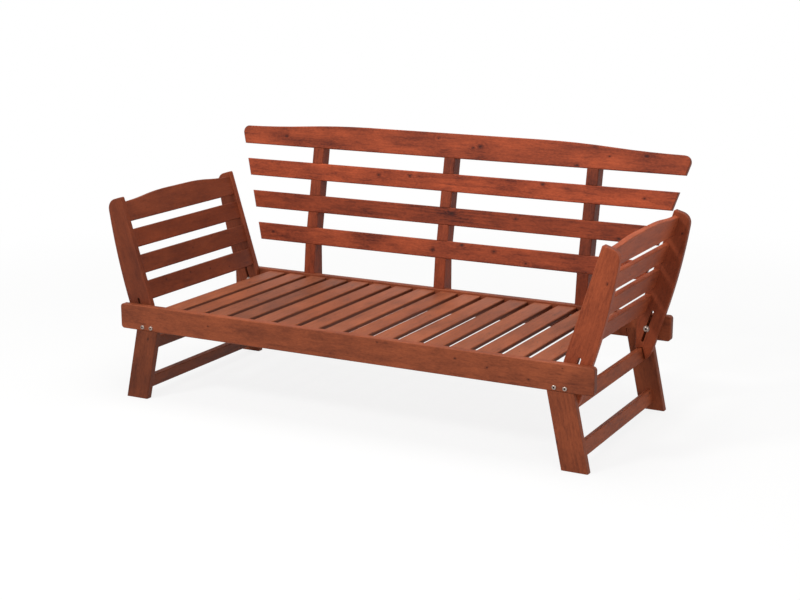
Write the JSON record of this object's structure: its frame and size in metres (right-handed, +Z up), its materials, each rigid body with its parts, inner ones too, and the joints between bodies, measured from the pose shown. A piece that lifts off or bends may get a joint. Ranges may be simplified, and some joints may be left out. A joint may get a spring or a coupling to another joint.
{
  "type": "garden bench and daybed with fold-flat arms",
  "caption": "Slatted hardwood garden bench with a raked flared back and two slatted arms that lift and fold outward flat, turning the bench into a daybed.",
  "frame": {"origin": "on the floor, below the middle of the whole bench's outer box with its arms up", "axes": "+X along the seat to the sitter's left, seen from the front to the right; -Y is the open front, +Y the back; +Z up"},
  "size_m": [1.5946, 0.7428, 0.7578],
  "materials": {
    "frame_wood": "red-brown stained and oiled hardwood",
    "seat_wood": "red-brown stained and oiled hardwood",
    "back_wood": "red-brown stained and oiled hardwood",
    "arm_wood": "red-brown stained and oiled hardwood",
    "bolt_steel": "plated steel"
  },
  "bodies": {
    "frame": {"back_slat_1": "back_wood", "back_slat_2": "back_wood", "back_slat_3": "back_wood", "back_slat_4": "back_wood", "front_seat_rail": "frame_wood", "front_slat_ledger": "frame_wood", "left_back_upright": "frame_wood", "left_cross_rail": "frame_wood", "left_front_leg": "frame_wood", "left_rear_leg": "frame_wood", "left_stretcher": "frame_wood", "leg_bolts": "bolt_steel", "middle_back_upright": "frame_wood", "rear_seat_rail": "frame_wood", "rear_slat_ledger": "frame_wood", "right_back_upright": "frame_wood", "right_cross_rail": "frame_wood", "right_front_leg": "frame_wood", "right_rear_leg": "frame_wood", "right_stretcher": "frame_wood", "seat_slat_01": "seat_wood", "seat_slat_02": "seat_wood", "seat_slat_03": "seat_wood", "seat_slat_04": "seat_wood", "seat_slat_05": "seat_wood", "seat_slat_06": "seat_wood", "seat_slat_07": "seat_wood", "seat_slat_08": "seat_wood", "seat_slat_09": "seat_wood", "seat_slat_10": "seat_wood", "seat_slat_11": "seat_wood", "seat_slat_12": "seat_wood", "seat_slat_13": "seat_wood", "seat_slat_14": "seat_wood", "seat_slat_15": "seat_wood", "seat_slat_16": "seat_wood", "upright_bolts": "bolt_steel"},
    "left_pivots": {"left_pivot_bolts": "bolt_steel"},
    "left_arm": {"left_arm_front_stile": "arm_wood", "left_arm_rear_stile": "arm_wood", "left_arm_slat_1": "arm_wood", "left_arm_slat_2": "arm_wood", "left_arm_slat_3": "arm_wood", "left_arm_slat_4": "arm_wood"},
    "right_pivots": {"right_pivot_bolts": "bolt_steel"},
    "right_arm": {"right_arm_front_stile": "arm_wood", "right_arm_rear_stile": "arm_wood", "right_arm_slat_1": "arm_wood", "right_arm_slat_2": "arm_wood", "right_arm_slat_3": "arm_wood", "right_arm_slat_4": "arm_wood"}
  },
  "joints": [
    {"name": "left_arm_fold", "type": "hinge", "parent": "frame", "child": "left_pivots", "pos_m": [-0.684, 0, 0.247], "axis": [0, -1, 0], "range_deg": [0, 73]},
    {"name": "left_arm_lift", "type": "slide", "parent": "left_pivots", "child": "left_arm", "axis": [-0.2924, 0, 0.9563], "range_m": [0, 0.038]},
    {"name": "right_arm_fold", "type": "hinge", "parent": "frame", "child": "right_pivots", "pos_m": [0.684, 0, 0.247], "axis": [0, 1, 0], "range_deg": [0, 73]},
    {"name": "right_arm_lift", "type": "slide", "parent": "right_pivots", "child": "right_arm", "axis": [0.2924, 0, 0.9563], "range_m": [0, 0.038]}
  ]
}
